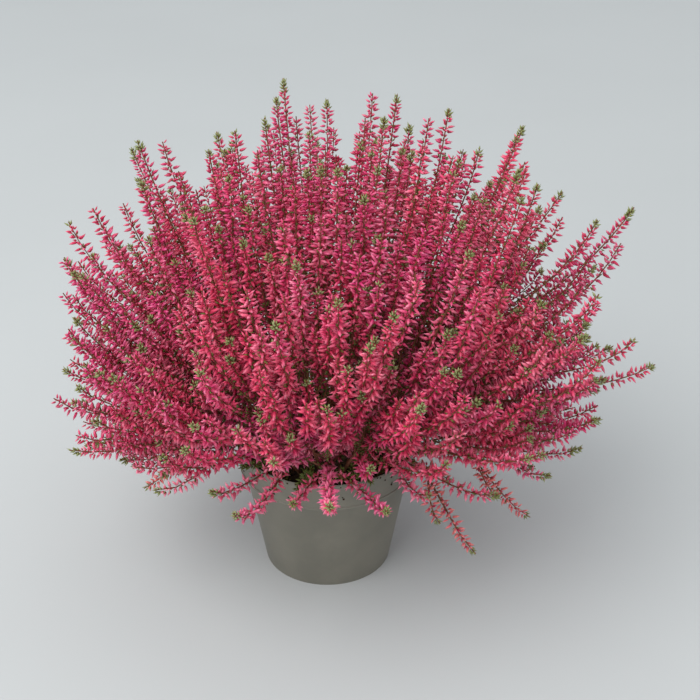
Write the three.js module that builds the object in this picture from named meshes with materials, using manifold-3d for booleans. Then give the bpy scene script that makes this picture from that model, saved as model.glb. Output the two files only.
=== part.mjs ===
// Potted heather: a plastic pot, its soil, and the flower sprays, trailing shoots and leafy shoots that stand in it.
// Millimetres, +Z up. The origin is the middle of the pot's base, on the surface that it stands on, and -Y is the front.

import * as THREE from "three";
import { mergeVertices } from "three/addons/utils/BufferGeometryUtils.js";
import Module from "manifold-3d";

const wasm = await Module();
wasm.setup();

const DEGREE = Math.PI / 180;
const GOLDEN_ANGLE = Math.PI * (3 - Math.sqrt(5));
const FRONT = -90 * DEGREE;
const CLEARANCE = 0.3;
const SIDES = 4;
const CUT_PAST = 1;

const pot = {
  height: 84,
  rimRadius: 54.5,
  rimBandHeight: 19,
  rimTaper: 1.4,
  rimStep: 2.6,
  rimRound: 0.8,
  baseRadius: 39,
  wall: 1.2,
  footHeight: 3,
  footWidth: 5,
  footSlope: 1,
  discRadius: 17,
  floor: 1.6,
  drainCircle: 25.5,
  drainRadius: 4,
  drainCount: 8,
  drainSides: 6,
  sides: 28,
};

const soil = {
  top: 71,
  unevenness: 1.2,
  waveLength: 52,
  holeDepth: 14,
  holeSides: 4,
};

// How the plant spreads from its crown, the middle of the soil's surface. A lean is an angle from upright.
const plant = {
  seed: 20,
  sprays: 38,
  rootSpread: 38,
  fanAtFront: 0.28,
  widestLean: 92 * DEGREE,
  frontLean: 66 * DEGREE,
  crest: 240,
  droop: 100,
  droopFrom: 35 * DEGREE,
  droopTo: 112 * DEGREE,
  shortest: 0.86,
  frontShare: 0.93,
  rightShare: 1.04,
  leftShare: 0.95,
  budSeed: 7,
};

const stem = {
  radius: 1.5,
  upright: soil.holeDepth + soil.unevenness + 0.5,
  spread: 1.1,
  mostLean: 35 * DEGREE,
  turnUp: 0.6,
  turnUpUntil: 50 * DEGREE,
  leastBare: 62,
  pastRim: 46,
  bends: [0.3, 0.6, 0.92],
  steps: 40,
  reachIn: 0.5,
  reachOut: 0.34,
};

// A flowered stretch is a core with pairs of buds, each pair square to the last and turned on a little.
const spike = {
  pitch: 8,
  rings: 13,
  budReach: 6.6,
  budLift: 2.2,
  core: 1.8,
  twist: 13 * DEGREE,
  firstShare: 0.7,
  swellUntil: 0.2,
  taperFrom: 0.55,
  tipShare: 0.5,
  coreTipShare: 0.75,
  tuft: 10,
  unevenness: 0.24,
};

const sideSpike = {
  rings: 6,
  budReach: 6.2,
  apart: 9 * DEGREE,
  mostApart: 13 * DEGREE,
  pastLowest: 3 * DEGREE,
  rounds: 40,
  pushReach: 0.6,
  pushPower: 5,
  step: 0.4 * DEGREE,
  share: [0.9, 0.76, 0.66],
  branchBefore: [38, 28, 20],
  splay: 36 * DEGREE,
  handle: 0.33,
  bends: [0, 0.5],
  leastBare: 30,
  foot: 1.26,
  core: 1.5,
};

const trailing = {
  azimuths: [-9 * DEGREE, -36 * DEGREE, 174 * DEGREE],
  lean: 106 * DEGREE,
  reach: [132, 112, 122],
  root: 42,
  startLean: 24 * DEGREE,
  endLean: 112 * DEGREE,
  reachIn: 0.74,
  rings: 9,
  budReach: 5,
};

const leafy = {
  seed: 5,
  count: 13,
  root: 43,
  lean: 71.5 * DEGREE,
  reach: 84,
  startLean: 6 * DEGREE,
  shortest: 0.86,
  leastBare: 27,
  lastBend: 0.9,
  pitch: 5.6,
  needleReach: 3.5,
  needleLift: 3,
  core: 1.2,
  tuft: 5,
};

const colours = {
  pot: 0x6a695f,
  soil: 0x2b2018,
  flower: 0x97324c,
  pale: 0xb86a66,
  leaf: 0x3a4a1c,
};

// A seeded draw from 0 to 1.
function makeDraw(seed) {
  let state = seed;
  return () => {
    state = (state * 1664525 + 1013904223) % 4294967296;
    return state / 4294967296;
  };
}

const clamp = THREE.MathUtils.clamp;
const lerp = THREE.MathUtils.lerp;
const smoothstep = THREE.MathUtils.smoothstep;

// The unit vector at a lean from upright and an azimuth about the pot's axis.
function heading(lean, azimuth) {
  return new THREE.Vector3(
    Math.sin(lean) * Math.cos(azimuth),
    Math.sin(lean) * Math.sin(azimuth),
    Math.cos(lean),
  );
}

// Solids

function toSolid(geometry) {
  geometry.deleteAttribute("normal");
  geometry.deleteAttribute("uv");
  const merged = mergeVertices(geometry, 1e-3);
  const index = merged.index.array;
  const kept = [];
  for (let i = 0; i < index.length; i += 3) {
    const [a, b, c] = [index[i], index[i + 1], index[i + 2]];
    if (a !== b && b !== c && c !== a) kept.push(a, b, c);
  }
  return new wasm.Manifold(
    new wasm.Mesh({
      numProp: 3,
      vertProperties: merged.attributes.position.array,
      triVerts: new Uint32Array(kept),
    }),
  );
}

function toGeometry(solid) {
  const mesh = solid.getMesh();
  const geometry = new THREE.BufferGeometry();
  const positions = new Float32Array(mesh.vertProperties);
  geometry.setAttribute("position", new THREE.BufferAttribute(positions, 3));
  geometry.setIndex(new THREE.BufferAttribute(new Uint32Array(mesh.triVerts), 1));
  geometry.computeVertexNormals();
  return geometry;
}

// A profile of [radius, height] pairs, turned about the Z axis.
function turned(profile, sides) {
  const points = profile.map(([radius, height]) => new THREE.Vector2(radius, height));
  return new THREE.LatheGeometry(points, sides).rotateX(Math.PI / 2);
}

// An upright prism with its lower end at the given height.
function prism(x, y, low, radius, height, sides) {
  return new THREE.CylinderGeometry(radius, radius, height, sides)
    .rotateX(Math.PI / 2)
    .translate(x, y, low + height / 2);
}

// Pot and soil

const rimFoot = pot.height - pot.rimBandHeight;
const wallTopRadius = pot.rimRadius - pot.rimTaper - pot.rimStep;

// The inner wall's radius at a height below the rim band.
function innerRadius(height) {
  const share = height / rimFoot;
  return lerp(pot.baseRadius, wallTopRadius, share) - pot.wall;
}

function makePot() {
  const floorTop = pot.footHeight + pot.floor;
  const bandInner = pot.rimRadius - pot.rimTaper - pot.wall;
  const profile = [
    [0, 0],
    [pot.discRadius, 0],
    [pot.discRadius + pot.footSlope, pot.footHeight],
    [pot.baseRadius - pot.footWidth - pot.footSlope, pot.footHeight],
    [pot.baseRadius - pot.footWidth, 0],
    [pot.baseRadius, 0],
    [wallTopRadius, rimFoot],
    [pot.rimRadius - pot.rimTaper, rimFoot + pot.rimRound],
    [pot.rimRadius, pot.height - pot.rimRound],
    [pot.rimRadius - pot.wall / 2, pot.height],
    [pot.rimRadius - pot.wall, pot.height - pot.rimRound],
    [bandInner, rimFoot + pot.wall + pot.rimRound],
    [innerRadius(rimFoot + pot.wall), rimFoot + pot.wall],
    [innerRadius(floorTop), floorTop],
    [0, floorTop],
  ];
  const drainDepth = pot.floor + 2 * CUT_PAST;
  let solid = toSolid(turned(profile, pot.sides));
  for (let i = 0; i < pot.drainCount; i++) {
    const angle = (i * 2 * Math.PI) / pot.drainCount;
    const x = pot.drainCircle * Math.cos(angle);
    const y = pot.drainCircle * Math.sin(angle);
    const drain = prism(x, y, pot.footHeight - CUT_PAST, pot.drainRadius, drainDepth, pot.drainSides);
    solid = solid.subtract(toSolid(drain));
  }
  return solid;
}

// The soil's surface, a little uneven.
function soilHeight(x, y) {
  const wave = (2 * Math.PI) / soil.waveLength;
  return soil.top + soil.unevenness * Math.sin(x * wave + 1) * Math.cos(y * wave);
}

function makeSoil(roots) {
  const bottom = pot.footHeight + pot.floor + CLEARANCE;
  const bottomRadius = innerRadius(bottom) - CLEARANCE;
  const shoulder = rimFoot - CLEARANCE;
  const step = rimFoot + pot.wall + pot.rimRound + CLEARANCE;
  const bandRadius = pot.rimRadius - pot.rimTaper - pot.wall - CLEARANCE;
  const profile = [
    [0, bottom],
    [bottomRadius, bottom],
    [innerRadius(shoulder) - CLEARANCE, shoulder],
    [innerRadius(shoulder) - CLEARANCE, step],
    [bandRadius, step + CLEARANCE],
    [bandRadius, soil.top],
    [bandRadius / 2, soil.top],
    [0, soil.top],
  ];
  const geometry = turned(profile, pot.sides);
  const place = geometry.attributes.position;
  for (let i = 0; i < place.count; i++) {
    if (place.getZ(i) === soil.top) place.setZ(i, soilHeight(place.getX(i), place.getY(i)));
  }
  let solid = toSolid(geometry);
  const holeRadius = (stem.radius + CLEARANCE) / Math.cos(Math.PI / soil.holeSides);
  const low = soil.top - soil.holeDepth - CLEARANCE;
  for (const root of roots) {
    const hole = prism(root.x, root.y, low, holeRadius, 2 * soil.holeDepth, soil.holeSides);
    solid = solid.subtract(toSolid(hole));
  }
  return solid;
}

// Stems and what grows on them

// A stem's middle line: its length, and the place and direction at a distance along it.
class Line {
  constructor(points) {
    this.points = points;
    this.distances = [0];
    for (let i = 1; i < points.length; i++) {
      this.distances.push(this.distances[i - 1] + points[i].distanceTo(points[i - 1]));
    }
    this.length = this.distances[points.length - 1];
  }

  placeAt(distance) {
    const wanted = clamp(distance, 0, this.length);
    let i = 1;
    while (i < this.points.length - 1 && this.distances[i] < wanted) i++;
    const share = (wanted - this.distances[i - 1]) / (this.distances[i] - this.distances[i - 1]);
    return this.points[i - 1].clone().lerp(this.points[i], share);
  }

  directionAt(distance) {
    return this.placeAt(distance + 1).sub(this.placeAt(distance - 1)).normalize();
  }
}

// Four points round a place on a stem. On a clothed stretch a bud or needle stands out on two of them.
function ring(line, distance, sideways, options) {
  const centre = line.placeAt(distance);
  const tangent = line.directionAt(distance);
  const across = sideways.clone().addScaledVector(tangent, -sideways.dot(tangent)).normalize();
  const third = new THREE.Vector3().crossVectors(tangent, across);
  const points = [];
  for (let j = 0; j < SIDES; j++) {
    const angle = (j * 2 * Math.PI) / SIDES + options.turn;
    const isBud = options.reach && (j + options.index) % 2 === 0;
    const out = isBud ? options.reach() : options.core;
    const point = centre.clone();
    point.addScaledVector(across, out * Math.cos(angle));
    point.addScaledVector(third, out * Math.sin(angle));
    if (isBud) point.addScaledVector(tangent, options.lift);
    points.push(point);
  }
  return points;
}

// A closed skin over rings of four points, with a point at its far end. Each bud's four faces meet at its tip.
function skin(rings, apex) {
  const positions = [];
  const index = [];
  rings.flat().forEach((point) => positions.push(point.x, point.y, point.z));
  positions.push(apex.x, apex.y, apex.z);
  index.push(2, 1, 0, 3, 2, 0);
  const last = rings.length - 1;
  for (let i = 0; i <= last; i++) {
    for (let j = 0; j < SIDES; j++) {
      const next = (j + 1) % SIDES;
      const [a, b] = [i * SIDES + j, i * SIDES + next];
      const [c, d] = [a + SIDES, b + SIDES];
      if (i === last) index.push(a, b, rings.length * SIDES);
      else if ((i + j) % 2 === 0) index.push(a, b, c, b, d, c);
      else index.push(a, b, d, a, d, c);
    }
  }
  const geometry = new THREE.BufferGeometry();
  geometry.setAttribute("position", new THREE.Float32BufferAttribute(positions, 3));
  geometry.setIndex(index);
  return toSolid(geometry);
}

// A stem along a line: bare, with a ring at each of its bends, up to where its rings of buds or needles begin.
function makeStem(line, sideways, form, draw) {
  const bare = line.length - form.rings * form.pitch - form.tuft;
  const rings = form.barePlaces(bare).map((distance) => {
    const core = lerp(form.foot, form.core, distance / bare);
    return ring(line, distance, sideways, { core, turn: 0 });
  });
  for (let i = 0; i < form.rings; i++) {
    const share = i / (form.rings - 1);
    const taper = lerp(1, form.tipShare, smoothstep(share, form.taperFrom, 1));
    const swell = lerp(form.firstShare, 1, smoothstep(share, 0, form.swellUntil));
    const reach = () => form.budReach * taper * swell * (1 + form.unevenness * (draw() - 0.5));
    rings.push(
      ring(line, bare + (i + 0.5) * form.pitch, sideways, {
        index: rings.length,
        turn: i * form.twist,
        core: form.core * lerp(1, form.coreTipShare, share),
        lift: form.budLift,
        reach,
      }),
    );
  }
  return skin(rings, line.placeAt(line.length));
}

// Where a rooted stem's bare stretch bends: at its foot, at the soil and along its rise.
function rootedPlaces(bare) {
  return [0, stem.upright, ...stem.bends.map((share) => lerp(stem.upright, bare, share))];
}

function ringsThatFit(line, form, leastBare) {
  return Math.max(4, Math.floor((line.length - leastBare - form.tuft) / form.pitch));
}

// The lean of the lowest sprays at an azimuth: less at the front, where the pot's rim shows.
function lowestLean(azimuth) {
  const front = ((1 - Math.sin(azimuth)) / 2) ** 2;
  return lerp(plant.widestLean, plant.frontLean, front);
}

// How far a spray's tip lies from the crown.
function reachAt(lean, azimuth) {
  const droop = plant.droop * smoothstep(lean, plant.droopFrom, plant.droopTo);
  const side = Math.sin(lean) * Math.cos(azimuth);
  const sideShare = side > 0 ? lerp(1, plant.rightShare, side) : lerp(1, plant.leftShare, -side);
  const front = Math.sin(lean) * clamp(-Math.sin(azimuth), 0, 1);
  return (plant.crest - droop) * sideShare * lerp(1, plant.frontShare, front);
}

// A line in an upright plane, from a foot down in the soil to a tip, with its leans at the soil and at the tip.
function stemLine(foot, tip, startLean, endLean, azimuth, reachIn = stem.reachIn) {
  const rise = foot.clone().setZ(foot.z + stem.upright);
  const span = rise.distanceTo(tip);
  const near = rise.clone().addScaledVector(heading(startLean, azimuth), reachIn * span);
  const far = tip.clone().addScaledVector(heading(endLean, azimuth), -stem.reachOut * span);
  const curve = new THREE.CubicBezierCurve3(rise, near, far, tip);
  return new Line([foot, ...curve.getPoints(stem.steps)]);
}

function footOf(radius, azimuth) {
  const z = soil.top - soil.holeDepth;
  return new THREE.Vector3(radius * Math.cos(azimuth), radius * Math.sin(azimuth), z);
}

const crown = new THREE.Vector3(0, 0, soil.top);

// A direction brought into the ring round its spray, and not much below the lowest sprays.
function heldNear(own, tip) {
  const across = tip.clone().addScaledVector(own, -tip.dot(own)).normalize();
  const apart = clamp(Math.acos(tip.dot(own)), sideSpike.apart, sideSpike.mostApart);
  const held = own.clone().multiplyScalar(Math.cos(apart)).addScaledVector(across, Math.sin(apart));
  const lowest = lowestLean(Math.atan2(held.y, held.x)) + sideSpike.pastLowest;
  held.z = Math.max(held.z, Math.cos(lowest));
  return held.normalize();
}

// Side spikes start evenly round their own spray, and then move apart until they fill the gaps between sprays.
function spreadSides(sprays) {
  const owns = sprays.map((spray) => heading(spray.lean, spray.azimuth));
  const sides = [];
  sprays.forEach((spray, k) => {
    const sideways = heading(Math.PI / 2, spray.azimuth + Math.PI / 2);
    const outward = heading(spray.lean + Math.PI / 2, spray.azimuth);
    sideSpike.share.forEach((share, j) => {
      const turn = k * GOLDEN_ANGLE + (j * 2 * Math.PI) / sideSpike.share.length;
      const tip = owns[k].clone();
      tip.addScaledVector(sideways, Math.tan(sideSpike.apart) * Math.cos(turn));
      tip.addScaledVector(outward, Math.tan(sideSpike.apart) * Math.sin(turn));
      sides.push(heldNear(owns[k], tip.normalize()));
    });
  });
  for (let round = 0; round < sideSpike.rounds; round++) {
    sides.forEach((side, i) => {
      const push = new THREE.Vector3();
      for (const other of [...owns, ...sides]) {
        const away = side.clone().sub(other);
        const gap = away.length();
        if (gap > 0 && gap < sideSpike.pushReach) {
          push.addScaledVector(away, 1 / gap ** sideSpike.pushPower);
        }
      }
      push.addScaledVector(side, -push.dot(side)).normalize();
      const own = owns[Math.floor(i / sideSpike.share.length)];
      side.copy(heldNear(own, side.clone().addScaledVector(push, sideSpike.step).normalize()));
    });
  }
  sprays.forEach((spray, k) => {
    const count = sideSpike.share.length;
    spray.sideHeadings = sides.slice(k * count, (k + 1) * count);
  });
}

// The places and sizes of all sprays, by the spiral that spaces seeds evenly on a flower head.
function layOutSprays() {
  const draw = makeDraw(plant.seed);
  const sprays = [];
  for (let k = 0; k < plant.sprays; k++) {
    const share = (k + 0.5) / plant.sprays;
    const even = k * GOLDEN_ANGLE;
    const azimuth = even + plant.fanAtFront * Math.sin(even - FRONT);
    const lean = Math.acos(1 - share * (1 - Math.cos(lowestLean(azimuth))));
    const size = lerp(plant.shortest, 1, draw());
    sprays.push({
      azimuth,
      lean,
      reach: reachAt(lean, azimuth) * size,
      root: plant.rootSpread * Math.sqrt(share),
    });
  }
  spreadSides(sprays);
  return sprays;
}

function makeSpray(spray, draw) {
  const { azimuth, lean, reach, root } = spray;
  const sideways = new THREE.Vector3(-Math.sin(azimuth), Math.cos(azimuth), 0);
  const foot = footOf(root, azimuth);
  const tip = crown.clone().addScaledVector(heading(lean, azimuth), reach);
  const startLean = Math.min(stem.spread * lean, stem.mostLean);
  const endLean = lean * lerp(stem.turnUp, 1, smoothstep(lean, stem.turnUpUntil, 90 * DEGREE));
  const line = stemLine(foot, tip, startLean, endLean, azimuth);
  const form = { ...spike, foot: stem.radius, barePlaces: rootedPlaces };
  form.rings = Math.min(spike.rings, ringsThatFit(line, form, stem.leastBare));
  const flowersFrom = line.length - form.rings * form.pitch - form.tuft;
  let solid = makeStem(line, sideways, form, draw);
  const own = heading(lean, azimuth);
  spray.sideHeadings.forEach((sideHeading, side) => {
    const across = sideHeading.clone().addScaledVector(own, -sideHeading.dot(own)).normalize();
    const branchFrom = Math.max(flowersFrom - sideSpike.branchBefore[side], stem.pastRim);
    const base = line.placeAt(branchFrom);
    const along = line.directionAt(branchFrom);
    const sideReach = reach * sideSpike.share[side];
    const sideTip = crown.clone().addScaledVector(sideHeading, sideReach);
    const span = base.distanceTo(sideTip);
    const near = base
      .clone()
      .addScaledVector(along, sideSpike.handle * span * Math.cos(sideSpike.splay))
      .addScaledVector(across, sideSpike.handle * span * Math.sin(sideSpike.splay));
    const far = sideTip.clone().addScaledVector(heading(endLean, azimuth), -sideSpike.handle * span);
    const curve = new THREE.CubicBezierCurve3(base, near, far, sideTip);
    const branch = new Line(curve.getPoints(stem.steps));
    const sideForm = {
      ...spike,
      budReach: sideSpike.budReach,
      barePlaces: (bare) => sideSpike.bends.map((share) => share * bare),
      foot: sideSpike.foot,
      core: sideSpike.core,
    };
    sideForm.rings = Math.min(sideSpike.rings, ringsThatFit(branch, sideForm, sideSpike.leastBare));
    solid = solid.add(makeStem(branch, sideways, sideForm, draw));
  });
  return { solid, foot };
}

function makeTrailing(i, draw) {
  const azimuth = trailing.azimuths[i];
  const sideways = new THREE.Vector3(-Math.sin(azimuth), Math.cos(azimuth), 0);
  const foot = footOf(trailing.root, azimuth);
  const tip = crown.clone().addScaledVector(heading(trailing.lean, azimuth), trailing.reach[i]);
  const { startLean, endLean, reachIn } = trailing;
  const line = stemLine(foot, tip, startLean, endLean, azimuth, reachIn);
  const form = {
    ...spike,
    rings: trailing.rings,
    budReach: trailing.budReach,
    foot: stem.radius,
    barePlaces: rootedPlaces,
  };
  return { solid: makeStem(line, sideways, form, draw), foot };
}

// Leafy shoots stand in the gaps between the outermost sprays.
function layOutLeafy(sprays) {
  const draw = makeDraw(leafy.seed);
  const outer = sprays
    .slice(-leafy.count)
    .map((spray) => THREE.MathUtils.euclideanModulo(spray.azimuth, 2 * Math.PI))
    .sort((a, b) => a - b);
  return outer.map((azimuth, i) => {
    const next = i + 1 < outer.length ? outer[i + 1] : outer[0] + 2 * Math.PI;
    return { azimuth: (azimuth + next) / 2, reach: leafy.reach * lerp(leafy.shortest, 1, draw()) };
  });
}

function makeLeafy({ azimuth, reach }, draw) {
  const sideways = new THREE.Vector3(-Math.sin(azimuth), Math.cos(azimuth), 0);
  const foot = footOf(leafy.root, azimuth);
  const tip = crown.clone().addScaledVector(heading(leafy.lean, azimuth), reach);
  const line = stemLine(foot, tip, leafy.startLean, leafy.lean, azimuth);
  const form = {
    ...spike,
    pitch: leafy.pitch,
    budReach: leafy.needleReach,
    budLift: leafy.needleLift,
    tuft: leafy.tuft,
    core: leafy.core,
    foot: leafy.core,
    barePlaces: (bare) => [0, stem.upright, leafy.lastBend * bare],
  };
  form.rings = ringsThatFit(line, form, leafy.leastBare);
  return { solid: makeStem(line, sideways, form, draw), foot };
}

// Assembly

function material(color, roughness) {
  return new THREE.MeshStandardMaterial({ color, roughness, metalness: 0 });
}

const potMaterial = material(colours.pot, 0.5);
const soilMaterial = material(colours.soil, 0.95);
const flowerMaterial = material(colours.flower, 0.7);
const paleMaterial = material(colours.pale, 0.7);
const leafMaterial = material(colours.leaf, 0.7);

const heather = new THREE.Group();
heather.name = "potted_heather";

function addMesh(name, solid, finish) {
  const mesh = new THREE.Mesh(toGeometry(solid), finish);
  mesh.name = name;
  heather.add(mesh);
}

const numbered = (name, i) => name + "_" + String(i + 1).padStart(2, "0");
const roots = [];
const drawBud = makeDraw(plant.budSeed);
const sprays = layOutSprays();

sprays.forEach((spray, i) => {
  const made = makeSpray(spray, drawBud);
  roots.push(made.foot);
  addMesh(numbered("flower_spray", i), made.solid, flowerMaterial);
});
trailing.azimuths.forEach((azimuth, i) => {
  const made = makeTrailing(i, drawBud);
  roots.push(made.foot);
  addMesh(numbered("trailing_shoot", i), made.solid, paleMaterial);
});
layOutLeafy(sprays).forEach((shoot, i) => {
  const made = makeLeafy(shoot, drawBud);
  roots.push(made.foot);
  addMesh(numbered("leafy_shoot", i), made.solid, leafMaterial);
});
addMesh("soil", makeSoil(roots), soilMaterial);
addMesh("pot", makePot(), potMaterial);

export default heather;
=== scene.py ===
import math

import bpy
import numpy as np
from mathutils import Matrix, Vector


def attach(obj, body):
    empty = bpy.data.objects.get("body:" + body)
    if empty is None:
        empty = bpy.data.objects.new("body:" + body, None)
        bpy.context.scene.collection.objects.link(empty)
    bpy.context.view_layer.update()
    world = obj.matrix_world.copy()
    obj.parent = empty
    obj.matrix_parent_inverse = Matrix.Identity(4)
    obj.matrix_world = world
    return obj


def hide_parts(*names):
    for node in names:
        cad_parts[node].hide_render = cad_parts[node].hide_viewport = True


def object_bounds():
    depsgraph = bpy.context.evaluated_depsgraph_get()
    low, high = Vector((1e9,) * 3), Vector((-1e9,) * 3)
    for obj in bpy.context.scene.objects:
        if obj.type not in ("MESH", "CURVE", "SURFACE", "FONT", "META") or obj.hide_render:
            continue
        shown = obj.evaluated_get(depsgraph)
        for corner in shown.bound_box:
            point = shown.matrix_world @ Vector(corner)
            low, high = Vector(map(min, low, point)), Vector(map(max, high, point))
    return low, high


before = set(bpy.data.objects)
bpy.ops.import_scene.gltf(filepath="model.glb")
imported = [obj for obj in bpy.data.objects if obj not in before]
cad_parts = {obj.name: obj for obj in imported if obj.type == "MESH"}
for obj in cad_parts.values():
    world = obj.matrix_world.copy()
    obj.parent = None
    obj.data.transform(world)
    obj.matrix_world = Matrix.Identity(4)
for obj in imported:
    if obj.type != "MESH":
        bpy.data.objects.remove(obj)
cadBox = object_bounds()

# Potted heather: a pot, its soil and the shoots that grow from one crown.
# Lengths are in millimetres, and mm turns them into metres. Camera, light and floor are given in metres.
mm = 0.001
goldenAngle = math.pi * (3 - math.sqrt(5))
drawRule = {"factor": 1664525, "step": 1013904223, "wrap": 2 ** 32}
nearly = 0.01  # what is this close to a value counts as equal to it


# Small helpers

def makeDraw(seed):  # a seeded draw from 0 to 1
    state = seed

    def draw():
        nonlocal state
        state = (state * drawRule["factor"] + drawRule["step"]) % drawRule["wrap"]
        return state / drawRule["wrap"]

    return draw


def lerp(a, b, share):
    return a + (b - a) * share


def smoothstep(value, low, high):
    share = np.clip((value - low) / (high - low), 0, 1)
    return share * share * (3 - 2 * share)


def unit(vectors):
    return vectors / np.linalg.norm(vectors, axis=-1, keepdims=True)


def heading(lean, azimuth):  # a unit vector at a lean from upright
    return np.array([math.sin(lean) * math.cos(azimuth), math.sin(lean) * math.sin(azimuth), math.cos(lean)])


def sidewaysOf(azimuth):
    return np.array([-math.sin(azimuth), math.cos(azimuth), 0.0])


def bezier(start, near, far, end, steps=40):
    t = np.linspace(0, 1, steps + 1)[:, None]
    return (1 - t) ** 3 * start + 3 * (1 - t) ** 2 * t * near + 3 * (1 - t) * t * t * far + t ** 3 * end


class Line:  # a stem's middle line
    def __init__(self, points):
        self.points = np.array(points)
        steps = np.linalg.norm(np.diff(self.points, axis=0), axis=1)
        self.distances = np.concatenate([[0], np.cumsum(steps)])
        self.length = float(self.distances[-1])

    def placeAt(self, distance):
        return np.stack([np.interp(distance, self.distances, self.points[:, k]) for k in range(3)], axis=-1)

    def directionAt(self, distance):  # from 1 mm before to 1 mm after
        return unit(self.placeAt(np.add(distance, 1)) - self.placeAt(np.subtract(distance, 1)))


def deselectAll():
    active = bpy.context.view_layer.objects.active
    if active and active.mode == "EDIT":
        bpy.ops.object.mode_set(mode="OBJECT")
    bpy.ops.object.select_all(action="DESELECT")


def pickOnly(piece):
    deselectAll()
    piece.select_set(True)
    bpy.context.view_layer.objects.active = piece


def pickParts(piece, kind, wanted):  # leaves the piece in edit mode with those faces or points selected
    bpy.ops.object.mode_set(mode="EDIT")
    bpy.ops.mesh.select_mode(type=kind)
    bpy.ops.mesh.select_all(action="DESELECT")
    bpy.ops.object.mode_set(mode="OBJECT")
    parts = piece.data.polygons if kind == "FACE" else piece.data.vertices
    for part in parts:
        part.select = bool(wanted(part))
    bpy.ops.object.mode_set(mode="EDIT")


def settle(piece):  # its place goes into its mesh
    pickOnly(piece)
    bpy.ops.object.transform_apply(location=True, rotation=True, scale=True)


def applyModifier(piece, kind, **settings):
    pickOnly(piece)
    modifier = piece.modifiers.new(kind.title(), kind)
    for name, value in settings.items():
        setattr(modifier, name, value)
    bpy.ops.object.modifier_apply(modifier=modifier.name)


def asForm(piece):  # a small model's points and triangles, as arrays, and the model goes
    pickOnly(piece)
    bpy.ops.object.mode_set(mode="EDIT")
    bpy.ops.mesh.select_all(action="SELECT")
    bpy.ops.mesh.quads_convert_to_tris()
    bpy.ops.mesh.normals_make_consistent(inside=False)
    bpy.ops.object.mode_set(mode="OBJECT")
    points = np.array([point.co for point in piece.data.vertices])
    faces = np.array([face.vertices for face in piece.data.polygons])
    bpy.data.objects.remove(piece)
    return {"points": points, "faces": faces}


def meshFrom(name, points, faces, look, smooth=True):
    mesh = bpy.data.meshes.new(name)
    mesh.from_pydata(points.tolist(), [], faces.tolist())
    if smooth:
        mesh.polygons.foreach_set("use_smooth", np.ones(len(faces), bool))
    layer = mesh.attributes.new("look", "FLOAT_COLOR", "POINT")
    layer.data.foreach_set("color", np.column_stack([look, np.ones(len(look))]).ravel())
    mesh.update()
    piece = bpy.data.objects.new(name, mesh)
    bpy.context.collection.objects.link(piece)
    return piece


def handOver(piece, node=None):  # every piece rides on the one body
    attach(piece, "root")
    if node:
        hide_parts(node)


def report(stage):
    meshes = [thing.data for thing in bpy.context.scene.objects if thing.type == "MESH"]
    print(f"{stage}, {sum(len(mesh.polygons) for mesh in meshes)} faces in the scene")


# Camera, light and floor

camera = {"place": (0.0, -0.71, 0.537), "aim": (0.014, 0.0, 0.143), "lens": 71}
light = {
    "place": (-0.9, -0.9, 1.6), "aim": (0, 0, 0.12), "size": 1.6, "power": 32,
    "sky": (0.93, 0.96, 1.0, 1), "skyPower": 1.0,
}
floorSide = 60


def lookAt(thing, aim):
    back = thing.location - Vector(aim)
    thing.rotation_euler = back.to_track_quat("Z", "Y").to_euler()


def setCamera():
    bpy.ops.object.camera_add(location=camera["place"])
    eye = bpy.context.object
    eye.data.lens = camera["lens"]
    lookAt(eye, camera["aim"])
    bpy.context.scene.camera = eye


def setLight():
    bpy.ops.object.light_add(type="AREA", location=light["place"])
    lamp = bpy.context.object
    lamp.data.size = light["size"]
    lamp.data.energy = light["power"]
    lookAt(lamp, light["aim"])
    world = bpy.data.worlds.new("studio")
    world.use_nodes = True
    sky = world.node_tree.nodes["Background"]
    sky.inputs["Color"].default_value = light["sky"]
    sky.inputs["Strength"].default_value = light["skyPower"]
    bpy.context.scene.world = world


def layFloor():
    bpy.ops.mesh.primitive_plane_add(size=floorSide)
    ground = bpy.context.object
    ground.name = "ground"
    return ground


deselectAll()
setCamera()
setLight()
ground = layFloor()
bpy.context.scene.view_settings.view_transform = "Standard"
report("camera, light and floor are set")


# Materials

def linear(colour):  # from the 0 to 255 that a picture holds
    shares = [c / 255 for c in colour]
    return tuple(c / 12.92 if c <= 0.04045 else ((c + 0.055) / 1.055) ** 2.4 for c in shares) + (1,)


def addNode(tree, kind, settings, inputs):
    node = tree.nodes.new(kind)
    for name, value in settings.items():
        setattr(node, name, value)
    for name, value in inputs.items():
        value = value.socket if isinstance(value, Value) else value
        if isinstance(value, bpy.types.NodeSocket):
            tree.links.new(value, node.inputs[name])
        else:
            node.inputs[name].default_value = value
    return node


class Value:  # a socket that takes part in shader maths
    def __init__(self, tree, socket):
        self.tree = tree
        self.socket = socket

    def mathWith(self, operation, first, second):
        node = addNode(self.tree, "ShaderNodeMath", {"operation": operation}, {0: first, 1: second})
        return Value(self.tree, node.outputs[0])

    def __add__(self, other):
        return self.mathWith("ADD", self, other)

    def __radd__(self, other):
        return self.mathWith("ADD", other, self)

    def __sub__(self, other):
        return self.mathWith("SUBTRACT", self, other)

    def __rsub__(self, other):
        return self.mathWith("SUBTRACT", other, self)

    def __mul__(self, other):
        return self.mathWith("MULTIPLY", self, other)

    def __rmul__(self, other):
        return self.mathWith("MULTIPLY", other, self)

    def clamped(self):
        node = addNode(self.tree, "ShaderNodeClamp", {}, {0: self})
        return Value(self.tree, node.outputs[0])

    def between(self, low, high):  # 0 at low, 1 at high
        return ((self - low) * (1 / (high - low))).clamped()


def newMaterial(name, look):
    material = bpy.data.materials.new(name)
    material.use_nodes = True
    tree = material.node_tree
    shader = tree.nodes["Principled BSDF"]
    shader.inputs["Roughness"].default_value = look["roughness"]
    shader.inputs["Specular IOR Level"].default_value = look["shine"]
    return material, tree, shader


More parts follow.
